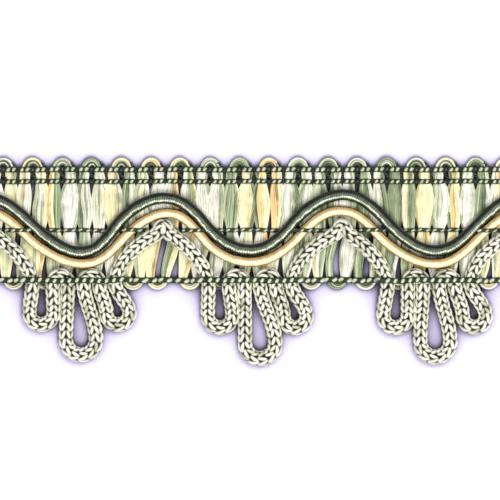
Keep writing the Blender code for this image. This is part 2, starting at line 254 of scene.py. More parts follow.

# Gimp colours round the cord, from its lower edge over the top and back underneath. The light band near
# the top is a painted highlight, and the dark colour at both edges and underneath is painted shade,
# black on the green cord and brown on the gold one
GREEN_PAINTED_SHADE, DEEP_GREEN, GREEN = (0.006, 0.009, 0.004), (0.022, 0.032, 0.015), (0.085, 0.12, 0.06)
GREEN_PAINTED_HIGHLIGHT = (0.88, 0.98, 0.70)
GREEN_STOPS = (
    (0.0, GREEN_PAINTED_SHADE), (0.05, GREEN_PAINTED_SHADE), (0.10, DEEP_GREEN), (0.15, GREEN),
    (0.170, GREEN_PAINTED_HIGHLIGHT), (0.195, GREEN_PAINTED_HIGHLIGHT), (0.215, GREEN), (0.26, GREEN),
    (0.31, DEEP_GREEN), (0.345, GREEN_PAINTED_SHADE), (1.0, GREEN_PAINTED_SHADE),
)
# Gold cord: cream is the painted highlight, brown the painted shade
GOLD_PAINTED_SHADE, GOLD, TAN = (0.05, 0.018, 0.003), (0.48, 0.27, 0.05), (0.60, 0.41, 0.16)
GOLD_PAINTED_HIGHLIGHT = (0.99, 0.90, 0.56)
GOLD_STOPS = (
    (0.0, GOLD_PAINTED_SHADE), (0.04, GOLD), (0.09, GOLD), (0.13, GOLD_PAINTED_HIGHLIGHT), (0.25, GOLD_PAINTED_HIGHLIGHT),
    (0.30, TAN), (0.38, TAN), (0.42, GOLD_PAINTED_SHADE), (1.0, GOLD_PAINTED_SHADE),
)

# How bright the gimp is in the groove between two wraps, which is painted shade, and in dull and bright
# patches
Glow = namedtuple("Glow", "groove dull bright")
GREEN_GLOW = Glow(0.3, 0.6, 1.35)
GOLD_GLOW = Glow(0.72, 0.88, 1.1)

# Floor colours, from the places that the trim covers to the open floor: a painted shadow, dark under
# the trim and violet beside it
FLOOR_SHADOW_STOPS = (
    (0.0, (0.01, 0.01, 0.02)), (0.28, (0.05, 0.045, 0.08)), (0.52, (0.36, 0.34, 0.48)),
    (0.74, (0.64, 0.62, 0.80)), (0.91, (0.78, 0.76, 0.93)), (0.985, (0.88, 0.88, 0.96)),
    (1.0, (0.93, 0.93, 0.93)),
)

# The floss of each leg, left to right, above row 3 and below it
UPPER_LEGS = (
    "yw yyl yyww lwyy gyss wwww sslww wwyw yyyw ssww lyw www "
    "wwg wwsy www wwl ssl yyyys sgyy ggyw wwwws lww lls slw "
    "wwl ssw wws ssss yyss yyyy slwwww sgyy wwww ssw wyg ywg"
).split()
LOWER_LEGS = (
    "yl yly lyy lyg lly www slw www wwy sly lyy yyyg "
    "ssyy yyg wwl lww ssw wly wwg yyw wws slw ywl sls "
    "wwww sss lly ssw ssy yyg wwl ygw www sly wyg yw"
).split()

# The floss of each loop, from outside in
TOP_LOOPS = (
    "wdwd ydwd lswd sldw yldw ygdd yldd lswd lsdd "
    "ygdd wlsd lsdd lwdd slwd ldsd ydwd lsdd ydwd"
).split()
LOW_LOOPS = (
    "wydd lsdd wsdd wydd wydd wgdd ywsd dsdd ygdd "
    "wydd wydd dsdd wsdd sdld ygdd wydd wygd"
).split()

# How far each lower loop hangs to the side of the upper loops' gap
LOW_LOOP_SHIFT = {0: -0.9, 5: -1.5, 6: -1.0, 10: -0.45, 11: -0.95, 12: -1.2, 16: -0.3}
USUAL_SHIFT = -0.6

# Legs whose floss puffs wider or less wide than the others
WIDE_UPPER = {
    5: 1.2, 8: 1.1, 11: 1.05, 17: 1.2, 20: 1.15, 24: 1.1, 29: 1.15, 30: 1.2, 32: 1.15,
}
WIDE_LOWER = {5: 1.1, 11: 0.62, 12: 0.85, 18: 1.15, 23: 0.52, 24: 1.1, 25: 0.6, 30: 1.1}

# How far the lower part of a leg bows to the right
BOW_LOWER = {
    10: -0.3, 11: -0.25, 12: 0.25, 13: 0.3, 22: -0.3, 23: -0.55, 24: 0.05, 25: -0.45, 26: 0.3,
}

UP = np.array((0.0, 0.0, 1.0))
rng = np.random.default_rng(7)


def unit(vectors):
    """Each vector divided by its length."""
    return vectors / np.maximum(np.linalg.norm(vectors, axis=-1, keepdims=True), 1e-9)


def eased(t):
    """A share from 0 to 1 with soft ends, as t squared times 3 - 2t."""
    return t * t * (3 - 2 * t)


def run_along(line):
    """The length of a line up to each of its points."""
    return np.concatenate([[0.0], np.cumsum(np.linalg.norm(np.diff(line, axis=0), axis=1))])


def strand_surface(paths, ups, half_across, half_up, sides):
    """Tubes on a grid: path point + a cos(turn) across + b sin(turn) up, for every path,
    every station on it and every turn of the section."""
    heading = unit(np.gradient(paths, axis=1))
    across = unit(np.cross(heading, ups))
    lift = np.cross(across, heading)
    turn = 2 * np.pi * np.arange(sides) / sides
    return (paths[:, :, None, :]
            + (half_across[:, :, None] * np.cos(turn))[..., None] * across[:, :, None, :]
            + (half_up[:, :, None] * np.sin(turn))[..., None] * lift[:, :, None, :])


def grid_mesh(name, grids, tones=None, finish=None):
    """Closed tubes from grids of points, each (tubes, stations, sides, 3): quads between
    neighbours and a flat cap at both ends. The UV map holds the share of the length and
    of the turn, and the attribute tone one number for each tube."""
    points, corners, starts, uvs, shades = [], [], [], [], []
    base, loop_base = 0, 0
    for piece_number, grid in enumerate(grids):
        tubes, stations, sides, _ = grid.shape
        index = base + np.arange(tubes * stations * sides).reshape(tubes, stations, sides)
        beside = np.roll(index, -1, axis=2)
        quads = np.stack([index[:, :-1], index[:, 1:], beside[:, 1:], beside[:, :-1]], axis=-1)
        along = np.broadcast_to(np.linspace(0, 1, stations)[None, :, None], index.shape)
        turn = np.broadcast_to(np.arange(sides) / sides, index.shape)
        quad_u = np.stack([along[:, :-1], along[:, 1:], along[:, 1:], along[:, :-1]], axis=-1)
        step = 1.0 / sides
        quad_v = np.stack([turn[:, :-1], turn[:, 1:], turn[:, 1:] + step, turn[:, :-1] + step], axis=-1)
        caps = np.concatenate([index[:, 0], index[:, -1, ::-1]])
        cap_uv = np.zeros((caps.size, 2))
        corners += [quads.ravel(), caps.ravel()]
        uvs += [np.stack([quad_u.ravel(), quad_v.ravel()], axis=1), cap_uv]
        quad_count = quads.size // 4
        starts += [loop_base + 4 * np.arange(quad_count),
                   loop_base + quads.size + sides * np.arange(len(caps))]
        loop_base += quads.size + caps.size
        points.append(grid.reshape(-1, 3))
        tone = rng.random(tubes) if tones is None else tones[piece_number]
        shades.append(np.repeat(tone, stations * sides))
        base += grid.size // 3
    points, corners, starts = np.concatenate(points), np.concatenate(corners), np.concatenate(starts)
    mesh = bpy.data.meshes.new(name)
    mesh.vertices.add(len(points))
    mesh.vertices.foreach_set("co", (MM * points).astype(np.float32).ravel())
    mesh.loops.add(len(corners))
    mesh.loops.foreach_set("vertex_index", corners.astype(np.int32))
    mesh.polygons.add(len(starts))
    mesh.polygons.foreach_set("loop_start", starts.astype(np.int32))
    mesh.polygons.foreach_set("use_smooth", np.ones(len(starts), dtype=bool))
    mesh.update(calc_edges=True)
    layer = mesh.uv_layers.new(name="strand")
    layer.data.foreach_set("uv", np.concatenate(uvs).astype(np.float32).ravel())
    shade = mesh.attributes.new("tone", "FLOAT", "POINT")
    shade.data.foreach_set("value", np.concatenate(shades).astype(np.float32))
    mesh.materials.append(finish)
    piece = bpy.data.objects.new(name, mesh)
    bpy.context.scene.collection.objects.link(piece)
    return piece


def shader_nodes(name):
    """An empty material: its nodes, its links and its shader."""
    finish = bpy.data.materials.new(name)
    finish.use_nodes = True
    tree = finish.node_tree
    return finish, tree.nodes, tree.links, tree.nodes["Principled BSDF"]


def number(nodes, links, operation, *values):
    """What a math node makes of its values, which are numbers or other nodes' outputs."""
    node = nodes.new("ShaderNodeMath")
    node.operation = operation
    for socket, value in zip(node.inputs, values):
        if isinstance(value, float):
            socket.default_value = value
        else:
            links.new(value, socket)
    return node.outputs[0]


def color_ramp(nodes, links, value, stops):
    """The colour at a value, between stops of a place and a colour each."""
    ramp = nodes.new("ShaderNodeValToRGB")
    elements = ramp.color_ramp.elements
    elements[0].position, elements[0].color = stops[0][0], (*stops[0][1], 1.0)
    elements[1].position, elements[1].color = stops[-1][0], (*stops[-1][1], 1.0)
    for place, color in stops[1:-1]:
        elements.new(place).color = (*color, 1.0)
    links.new(value, ramp.inputs["Fac"])
    return ramp.outputs["Color"]


def ranged(nodes, links, value, low, high, at_low, at_high):
    """A value from low to high turned to at_low to at_high, and held outside them."""
    node = nodes.new("ShaderNodeMapRange")
    links.new(value, node.inputs["Value"])
    ends = {"From Min": low, "From Max": high, "To Min": at_low, "To Max": at_high}
    for socket, setting in ends.items():
        node.inputs[socket].default_value = setting
    return node.outputs["Result"]


def dimmed(nodes, links, color, share):
    """The colour times the share."""
    node = nodes.new("ShaderNodeVectorMath")
    node.operation = "SCALE"
    links.new(color, node.inputs[0])
    links.new(share, node.inputs["Scale"])
    return node.outputs["Vector"]


def strand_place(nodes, links):
    """The share of a strand's length and of its turn, from the UV map."""
    uv = nodes.new("ShaderNodeUVMap")
    uv.uv_map = "strand"
    split = nodes.new("ShaderNodeSeparateXYZ")
    links.new(uv.outputs["UV"], split.inputs["Vector"])
    return split.outputs["X"], split.outputs["Y"]


def noise(nodes, links, vector, scale, detail=2.0):
    """Soft noise at this scale."""
    node = nodes.new("ShaderNodeTexNoise")
    node.inputs["Scale"].default_value = scale
    node.inputs["Detail"].default_value = detail
    links.new(vector, node.inputs["Vector"])
    return node.outputs["Fac"]


def thread_finish(name, light, shade, roughness, groove=1.0, crown=0.11, ends=1.0, depth=None,
                  gloss=0.5):
    """Thread: between its shade and its light colour from strand to strand and in soft patches. Where a
    groove is given, the colour is times the groove where it turns away from its crown, which is this
    share of a turn wide to each side, and times the ends at both ends of a strand; both are painted
    shade. The depth holds two heights and the share that is left of the colour at the lower one,
    painted shade that darkens the thread lower down."""
    finish, nodes, links, shader = shader_nodes(name)
    tone = nodes.new("ShaderNodeAttribute")
    tone.attribute_name = "tone"
    place = nodes.new("ShaderNodeTexCoord").outputs["Object"]
    cloud = noise(nodes, links, place, PATCH_SCALE, 3.0)
    total = number(nodes, links, "MULTIPLY_ADD", tone.outputs["Fac"], 0.62, cloud)
    between = [(a + 2 * b) / 3 for a, b in zip(shade, light)]
    color = color_ramp(nodes, links, total, ((0.40, shade), (0.62, between), (0.90, light)))
    # Painted shade: darker where a strand turns from its crown into a groove, and at its ends where it
    # sinks in
    if groove < 1:
        along, turn = strand_place(nodes, links)
        away = number(nodes, links, "ABSOLUTE", number(nodes, links, "SUBTRACT", turn, 0.25))
        color = dimmed(nodes, links, color, ranged(nodes, links, away, crown, 0.23, 1.0, groove))
        inside = number(nodes, links, "PINGPONG", along, 0.5)
        color = dimmed(nodes, links, color, ranged(nodes, links, inside, 0.05, 0.20, ends, 1.0))
    # Painted shade: darker lower down
    if depth:
        split = nodes.new("ShaderNodeSeparateXYZ")
        links.new(place, split.inputs["Vector"])
        low, high, share = depth
        color = dimmed(nodes, links, color,
                       ranged(nodes, links, split.outputs["Z"], low * MM, high * MM, share, 1.0))
    links.new(color, shader.inputs["Base Color"])
    bump = nodes.new("ShaderNodeBump")
    bump.inputs["Strength"].default_value = 0.25
    bump.inputs["Distance"].default_value = 0.00003
    links.new(noise(nodes, links, place, FUZZ_SCALE), bump.inputs["Height"])
    links.new(bump.outputs["Normal"], shader.inputs["Normal"])
    shader.inputs["Roughness"].default_value = roughness
    shader.inputs["Specular IOR Level"].default_value = gloss
    shader.inputs["Sheen Weight"].default_value = 0.4 * gloss
    return finish


def hermite(start, start_pull, end, end_pull, steps=48):
    """Cubic from start to end, leaving and arriving along the two pulls, without its end."""
    t = np.linspace(0.0, 1.0, steps, endpoint=False)[:, None]
    start, end = np.array(start), np.array(end)
    start_pull, end_pull = np.array(start_pull), np.array(end_pull)
    return ((2 * t**3 - 3 * t**2 + 1) * start + (t**3 - 2 * t**2 + t) * start_pull
            + (3 * t**2 - 2 * t**3) * end + (t**3 - t**2) * end_pull)


def path_length(path):
    """The length of a path."""
    return np.linalg.norm(np.diff(path, axis=0), axis=1).sum()


def even_line(line, spacing):
    """The same line with its points this far apart, measured along it."""
    run = run_along(line)
    count = int(round(run[-1] / spacing)) + 1
    places = np.linspace(0.0, run[-1], count)
    return np.stack([np.interp(places, run, line[:, axis]) for axis in range(line.shape[1])], axis=1)


def wave_line(points):
    """The middle line of a gimp cord through its crests, troughs and slopes."""
    runs = []
    pulls = np.gradient([point[0] for point in points])
    for n in range(len(points) - 1):
        here, there = points[n], points[n + 1]
        runs.append(hermite(here[:2], (pulls[n], pulls[n] * here[2]),
                            there[:2], (pulls[n + 1], pulls[n + 1] * there[2])))
    runs.append(np.array([points[-1][:2]]))
    return np.vstack(runs)


def arc_pull(radius, direction):
    """The pull that makes a quarter turn of this radius nearly round."""
    return QUARTER_PULL * radius * np.array(direction)


def loop_line(middle, bellies):
    """The middle line of one cluster of loops, from its first foot to its last."""
    runs = []
    for loop, (feet, (belly_x, radius, tip_y)) in enumerate(zip(LOOP_FEET, bellies)):
        middle_y = tip_y + radius
        left, right = middle + belly_x - radius, middle + belly_x + radius
        foot_in, foot_out = (middle + feet[0], FOOT_Y), (middle + feet[1], FOOT_Y)
        tip = (middle + belly_x, tip_y)
        neck = (0.0, FOOT_Y - middle_y)
        down, up = arc_pull(radius, (0.0, -1.0)), arc_pull(radius, (0.0, 1.0))
        along = arc_pull(radius, (1.0, 0.0))
        runs.append(hermite(foot_in, (0.0, -neck[1]), (left, middle_y), (0.0, -neck[1])))
        runs.append(hermite((left, middle_y), down, tip, along))
        runs.append(hermite(tip, along, (right, middle_y), up))
        runs.append(hermite((right, middle_y), neck, foot_out, neck))
        if loop < len(bellies) - 1:
            next_foot = (middle + LOOP_FEET[loop + 1][0], FOOT_Y)
            half = (next_foot[0] - foot_out[0]) / 2
            apex = (foot_out[0] + half, KNUCKLE_APEX_Y)
            across = arc_pull(half, (1.0, 0.0))
            runs.append(hermite(foot_out, arc_pull(half, (0.0, 1.0)), apex, across))
            runs.append(hermite(apex, across, next_foot, arc_pull(half, (0.0, -1.0))))
    return np.vstack(runs)


def pleat_runs(crest_x, middle, side, whole):
    """One slope of a pleat, from the crest outwards and down to the cluster's nearest foot.
    A whole one starts at the crest's apex, and a cut one at its neck."""
    inner = side > 0
    neck = np.array((crest_x + side * CREST_NECK_HALF, CREST_NECK_Y))
    corner = np.array(PLEAT_CORNER_IN if inner else PLEAT_CORNER_OUT) + (middle, 0.0)
    foot = np.array((middle + (LOOP_FEET[0][0] if inner else LOOP_FEET[-1][1]), FOOT_Y))
    leave, arrive = PLEAT_LEAVE * (corner - neck), PLEAT_ARRIVE * (foot - corner)
    runs = [hermite(neck, leave, foot, arrive), foot[None]]
    if whole:
        apex = (crest_x, CREST_APEX_Y)
        runs.insert(0, hermite(apex, arc_pull(1.0, (side, 0.0)), neck, arc_pull(1.0, unit(leave))))
    return np.vstack(runs)


def knitted_line():
    """The middle line of the knitted cord, crest to crest through every cluster."""
    runs = []
    last = len(CLUSTER_X) - 1
    for cluster, (middle, bellies) in enumerate(zip(CLUSTER_X, CLUSTER_BELLIES)):
        runs.append(pleat_runs(CREST_X[cluster], middle, 1, cluster > 0)[:-1])
        runs.append(loop_line(middle, bellies))
        runs.append(pleat_runs(CREST_X[cluster + 1], middle, -1, cluster < last)[::-1][:-1])
    runs.append(np.array([(CREST_X[-1] - CREST_NECK_HALF, CREST_NECK_Y)]))
    return np.vstack(runs)


def raised(line, half_up):
    """The line in space: on the weft's face above, eased down to lie on the floor below."""
    t = np.clip((DROP_START_Y - line[:, 1]) / (DROP_START_Y - DROP_END_Y), 0.0, 1.0)
    return np.column_stack([line, FACE_LEVEL * (1.0 - eased(t)) + half_up])


def cord_frame(line):
    """Heading, the level direction across it and the direction up from both."""
    heading = unit(np.gradient(line, axis=0))
    across = unit(np.cross(heading, UP))
    return heading, across, np.cross(across, heading)


def dress(piece, slot, *nodes):
    """Puts a piece on the trim and hides the solids it stands for; the slot is not used."""
    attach(piece, "root")
    if nodes:
        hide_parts(*nodes)
    return piece


def wrapped_cord(name, line, radius, stops, glow):
    """A gimp cord: its radius changes by the ridge times |sin(pi phase)| - 0.6, where the
    phase is the count of wraps so far along the cord less the share of a turn round it,
    and swells and sags a little along the cord."""
    path = even_line(line, WRAP / 4)
    _, across, lift = cord_frame(path)
    run = np.arange(len(path)) * WRAP / 4
    turn = 2 * np.pi * np.arange(GIMP_SIDES) / GIMP_SIDES
    phase = run[:, None] / WRAP - turn[None, :] / (2 * np.pi)
    wide = radius * (1 + WRAP_RIDGE * (np.abs(np.sin(np.pi * phase)) - 0.6))
    wide = wide * (1 + sum(share * np.sin(run[:, None] / length + start)
                           for share, length, start in GIMP_SWELLS))
    grid = (path[:, None, :] + (wide * np.cos(turn))[..., None] * across[:, None, :]
            + (wide * np.sin(turn))[..., None] * lift[:, None, :])
    return grid_mesh(name, [grid[None]], finish=gimp_finish(name, stops, run[-1] / WRAP, glow))


def gimp_finish(name, stops, wraps, glow):
    """Wrapped thread: its colour changes round the cord from stop to stop, with a painted highlight and
    painted shade, and is times the glow's three shares: in the groove beside each of the wraps, as
    painted shade, and in dull and bright patches."""
    finish, nodes, links, shader = shader_nodes(name)
    along, turn = strand_place(nodes, links)
    place = nodes.new("ShaderNodeTexCoord").outputs["Object"]
    cloud = noise(nodes, links, place, GIMP_SWAY_SCALE)
    sway = number(nodes, links, "MULTIPLY_ADD", cloud, 0.08, -0.04)
    color = color_ramp(nodes, links, number(nodes, links, "ADD", turn, sway), stops)
    # Painted shade in the groove between two wraps
    wrap = number(nodes, links, "MULTIPLY", along, float(wraps))
    phase = number(nodes, links, "SUBTRACT", wrap, turn)
    crown = number(nodes, links, "PINGPONG", phase, 0.5)
    color = dimmed(nodes, links, color, ranged(nodes, links, crown, 0.0, 0.30, glow.groove, 1.0))
    patch = noise(nodes, links, place, GIMP_PATCH_SCALE)
    shine = ranged(nodes, links, patch, 0.35, 0.65, glow.dull, glow.bright)
    color = dimmed(nodes, links, color, shine)
    links.new(color, shader.inputs["Base Color"])
    shader.inputs["Roughness"].default_value = 0.3
    shader.inputs["Specular IOR Level"].default_value = 0.5
    return finish


def knit_arms(line):
    """The stitches of a knitted tube: from every stitch's point two arms part. At the share
    s of its length an arm is round the cord by feet + spread s of a wale, along the cord by
    rise s of the pitch, and deeper in by dive times 1 + cos(2 pi s), so deepest at both
    ends. Up-going parts of the cord are turned half a wale further than down-going ones."""
    path = even_line(line, KNIT_STEP)
    heading, across, lift = cord_frame(path)
    courses = int(path_length(path) / STITCH_PITCH - STITCH_RISE)
    wale = 2 * np.pi / STITCH_WALES
    s = np.linspace(0, 1, STITCH_STATIONS)
    table = np.meshgrid(np.arange(courses), np.arange(STITCH_WALES), (-1, 1), indexing="ij")
    start, column, side = (part.ravel()[:, None] for part in table)
    count = len(start)
    slip = rng.normal(0, STITCH_SLIP, (count, 1))
    rise = STITCH_PITCH * (start + FIRST_STITCH + STITCH_RISE * s + slip)
    place = np.clip(rise / KNIT_STEP, 0, len(path) - 1.001)
    low = place.astype(int)
    part = (place - low)[..., None]
    middle = path[low] * (1 - part) + path[low + 1] * part
    sideways = unit(across[low] * (1 - part) + across[low + 1] * part)
    upward = unit(lift[low] * (1 - part) + lift[low + 1] * part)
    lean = (wale / 2 * (1 + heading[low][..., 1]) / 2
            + WALE_WANDER * np.sin(rise / WALE_WANDER_LENGTH))
    turn = wale * (column + side * (STITCH_FEET + STITCH_SPREAD * s)) + np.pi / 2 + lean
    depth = STITCH_DEPTH + STITCH_DIVE * (1 + np.cos(2 * np.pi * s))
    out = 1 - depth / KNIT_HALF_ACROSS
    across_part = (out * KNIT_HALF_ACROSS * np.cos(turn))[..., None] * sideways
    up_part = (out * KNIT_HALF_UP * np.sin(turn))[..., None] * upward
    radial = unit(np.cos(turn)[..., None] * sideways + np.sin(turn)[..., None] * upward)
    swell = STITCH_THIN_END + (1 - STITCH_THIN_END) * np.sin(np.pi * s)
    wide = STITCH_YARN * swell * rng.uniform(0.93, 1.07, (count, 1))
    high = np.full(wide.shape, STITCH_HALF_UP)
    return strand_surface(middle + across_part + up_part, radial, wide, high, STITCH_SIDES)


def crossings(line, row_y, radius):
    """Where a cord crosses a row: the middle and the half length that it covers there."""
    found = []
    step = np.diff(line, axis=0)
    change = (line[:-1, 1] - row_y) * (line[1:, 1] - row_y) < 0
    for at in np.flatnonzero(change):
        share = (row_y - line[at, 1]) / step[at, 1]
        slant = abs(step[at, 1]) / np.linalg.norm(step[at])
        found.append((line[at, 0] + share * step[at, 0], radius / slant))
    return found


def row_height(x, row_y, cords, legs):
    """Height of a face yarn's middle: over the legs, lower between them, and up over
    each cord that crosses the row, with soft ramps."""
    away = np.abs(x[:, None] - legs[None, :]).min(axis=1)
    dip = np.clip((away - DIP_FROM_LEG) / DIP_RAMP, 0.0, 1.0)
    height = PINCH_TOP + YARN_OVER_FLOSS - DIP_DEPTH * eased(dip)
    spans = []
    for line, half_across, top in cords:
        over = FACE_LEVEL + top + YARN_OVER_CORD
        for middle, half in crossings(line, row_y, half_across):
            spans.append((middle - half, middle + half, over))
    joined = []
    for start, end, top in sorted(spans):
        if joined and start - joined[-1][1] < NEAR_CORDS:
            joined[-1] = (joined[-1][0], max(end, joined[-1][1]), max(top, joined[-1][2]))
        else:
            joined.append((start, end, top))
    for start, end, top in joined:
        t = np.clip(1 - np.maximum(start - x, x - end) / CORD_RAMP, 0.0, 1.0)
        over = top - CROSSING_DROOP * np.abs((x - (start + end) / 2) / (end - start)) * 2
        height = np.maximum(height, height + (over - height) * eased(t))
    return height


def steady_turn(path, pitch, phase):
    """The turn at each point of a path, one whole turn in the pitch, from the phase on."""
    return 2 * np.pi * run_along(path) / pitch + phase


def bead_turn(x, marks):
    """The turn that brings one of two plies to the top at every mark: half a turn from one
    mark to the next, quickest at the marks, as a - 0.3 sin(2a)."""
    before = marks[0] - np.arange(3, 0, -1)
    after = marks[-1] + np.arange(1, 4)
    stops = np.concatenate([before, marks, after])
    turn = np.pi * (np.interp(x, stops, np.arange(len(stops))) + 0.5)
    return turn - 0.3 * np.sin(2 * turn)


def twisted(path, ups, ply_radius, offset, turn, waist=0.0):
    """Two plies round a line, each at the offset from it, half a turn apart. Their radius
    is the ply radius on top and below, and 1 - waist times that at the sides."""
    heading = unit(np.gradient(path, axis=0))
    across = unit(np.cross(heading, ups))
    lift = np.cross(across, heading)
    plies, outs = [], []
    for half in (0.0, np.pi):
        out = np.cos(turn + half)[:, None] * across + np.sin(turn + half)[:, None] * lift
        plies.append(path + offset * out)
        outs.append(out)
    plies, outs = np.array(plies), np.array(outs)
    thick = ply_radius * (1 - waist * (1 - np.abs(np.sin(turn)))) * np.ones((2, 1))
    return strand_surface(plies, outs, thick, thick, 8)


def leg_places():
    """X of every leg at the rows, from the top row down: (rows, legs)."""
    middles = FIRST_LOOP_X + LOOP_PITCH * np.arange(LOOP_COUNT)
    top = np.stack([middles - REACH_TOP, middles + REACH_TOP], axis=1).ravel()
    mid = np.stack([middles - REACH_MIDDLE, middles + REACH_MIDDLE], axis=1).ravel()
    shifts = np.array([LOW_LOOP_SHIFT.get(n, USUAL_SHIFT) for n in range(LOOP_COUNT - 1)])
    lows = middles[:-1] + LOOP_PITCH / 2 + shifts
    inner = np.stack([lows - REACH_LOW, lows + REACH_LOW], axis=1).ravel()
    low = np.concatenate([[mid[0] + USUAL_SHIFT], inner, [mid[-1] + USUAL_SHIFT]])
    return np.stack([top, top, mid, low])


def lock_runs(letters):
    """Splits a leg's letters into locks: the letter, and where it starts and ends from -1 to 1."""
    runs, start = [], 0
    for place in range(1, len(letters) + 1):
        if place == len(letters) or letters[place] != letters[start]:
            runs.append((letters[start], 2 * start / len(letters) - 1, 2 * place / len(letters) - 1))
            start = place
    return runs


def lock_grids(letter, line, half_width, half_height, spacing, store, place=0.0, share=1.0,
               twist=0.0):
    """A lock of floss in the store: a soft core, and fibres on its skin whose angle slowly sways and
    twists. A few fibres have the colour that strays into this one. The lock's place and share in its
    leg run from -1 to 1 across it, and the fibres get darker with the square of their own place there,
    painted shade that rounds the leg; the fibres underneath are the darkest, painted shade under the
    lock."""
    stations = len(line)
    t = np.linspace(0, 1, stations)
    _, across, lift = cord_frame(line)
    core = strand_surface(line[None], UP, CORE_SHARE * half_width[None],
                          CORE_SHARE * half_height[None], 10)
    store[letter].append((core, np.full(1, CORE_TONE)))
    count = int(round(np.pi * half_width.max() / spacing)) + 2
    upper = np.linspace(0.04, 0.96, count) * np.pi
    under = np.pi + np.linspace(0.12, 0.88, max(count // 4, 2)) * np.pi
    angle = np.concatenate([upper, under])
    angle = angle + rng.normal(0, 0.3 / count, len(angle))
    sway = rng.uniform(0.0, FIBRE_SWAY, len(angle))[:, None]
    pace = rng.uniform(0.5, 1.3, len(angle))[:, None]
    start = rng.uniform(0, 2 * np.pi, len(angle))[:, None]
    turn = angle[:, None] + sway * np.sin(2 * np.pi * pace * t + start) + twist * (t - 0.5)
    reach = 1.0 + rng.normal(0, FIBRE_FREEDOM, len(angle))[:, None] * np.sin(np.pi * t)
    paths = (line[None] + (reach * half_width * np.cos(turn))[..., None] * across[None]
             + (reach * half_height * np.sin(turn))[..., None] * lift[None])
    outs = np.cos(turn)[..., None] * across[None] + np.sin(turn)[..., None] * lift[None]
    wide = FIBRE_HALF * spacing * rng.uniform(0.75, 1.25, len(angle))[:, None] * np.ones(stations)
    fibres = strand_surface(paths, outs, wide, 0.8 * wide, 4)
    # Painted shade: the tone falls towards the leg's edges and is lowest under the lock
    spot = np.where(np.sin(angle) > 0, place + share * np.cos(angle), 1.0)
    tones = TONE_IN_MIDDLE - TONE_FALL * spot * spot - rng.uniform(0.0, TONE_SPREAD, len(angle))
    strays = rng.random(len(angle)) < STRAY_SHARE
    store[letter].append((fibres[~strays], tones[~strays]))
    if strays.any():
        store[FLOSS[letter].stray].append((fibres[strays], tones[strays]))


def span_locks(letters, rows, sides, span, wide, bow, lower, store):
    """The locks of one leg between two rows: its half width swells from the span's pinches
    to its puff times wide, as sin(pi t^0.85)^1.1, it bows to one side and lies lower by
    the lower's share of the swell, and each lock slides sideways on its way down."""
    t = np.linspace(0, 1, span.stations)
    swell = np.sin(np.pi * t**0.85) ** 1.1
    first, last = span.pinches
    half = first + (last - first) * t + (span.puff * wide - (first + last) / 2) * swell
    middle = sides[0] + (sides[1] - sides[0]) * eased(t) + bow * np.sin(np.pi * t)
    y = rows[0] + (rows[1] - rows[0]) * t
    thick = LOCK_THIN + LOCK_GAIN * swell
    twist = rng.uniform(-LOCK_TWIST, LOCK_TWIST)
    for letter, start, end in lock_runs(letters):
        share, place = (end - start) / 2, (start + end) / 2
        slide = rng.uniform(-LOCK_SLIDE, LOCK_SLIDE) * (1 - share)
        drift = place + slide * np.sin(np.pi * (t - 0.5)) * swell
        sag = (rng.uniform(-0.20, 0.02) - lower) * swell
        half_up = thick * min(1.0, 0.65 + 0.55 * share)
        z = np.maximum(PINCH_TOP - 0.16 - 0.20 * swell + sag, half_up + LOCK_CLEARANCE)
        z = z + crest_lift(middle, y)
        line = np.stack([middle + half * drift, y, z], axis=1)
        width = half * share * 1.15 + 0.04
        lock_grids(letter, line, width, half_up, LEG_FIBRE_SPACING, store, place, share, twist)


def crest_lift(x, y):
    """How far the floss bulges up in the gap between the gimp cords, near their crests: by
    the bulge times exp(-(d / half)^2) at the distance d from the gap's curved middle."""
    lift = np.zeros(len(x))
    for crest_x, gap_y in GIMP_GAPS:
        beside = x - crest_x
        away = y - (gap_y - GAP_CURVE * beside * beside)
        bulge = GAP_BULGE * np.exp(-(away / GAP_HALF) ** 2)
        lift += np.where(np.abs(beside) < GAP_REACH, bulge, 0.0)
    return lift


def floss_legs(store):
    """Every leg, in the short span between rows 1 and 2 and the two long ones below."""
    places = leg_places()
    for leg in range(2 * LOOP_COUNT):
        x = places[:, leg]
        bow = rng.uniform(-LEG_BOW, LEG_BOW)
        low_bow = BOW_LOWER.get(leg, -bow)
        wide_up = WIDE_UPPER.get(leg, 1.0) * rng.uniform(0.84, 1.04)
        wide_low = WIDE_LOWER.get(leg, 1.0) * rng.uniform(0.90, 1.04)
        lower = LEG_BEHIND * (leg % 2)
        upper_floss, lower_floss = UPPER_LEGS[leg], LOWER_LEGS[leg]
        span_locks(upper_floss, ROW_Y[0:2], x[0:2], LEG_SPANS[0], 1.0, 0.0, 0.0, store)
        span_locks(upper_floss, ROW_Y[1:3], x[1:3], LEG_SPANS[1], wide_up, bow, lower, store)
        span_locks(lower_floss, ROW_Y[2:4], x[2:4], LEG_SPANS[2], wide_low, low_bow, lower, store)


def arch_line(left_x, right_x, spring_y, reach_y, inset, stations=13):
    """Half an ellipse from one leg to the next, drawn in by the inset, with straight feet."""
    turn = np.linspace(np.pi, 0, stations)
    middle, half = (left_x + right_x) / 2, (right_x - left_x) / 2
    rise = (reach_y - spring_y) - np.sign(reach_y - spring_y) * inset
    x = middle + (half - inset) * np.cos(turn)
    y = spring_y + rise * np.sin(turn)
    z = PINCH_TOP - 0.22 - 0.10 * np.sin(turn)
    return np.stack([x, y, z], axis=1)


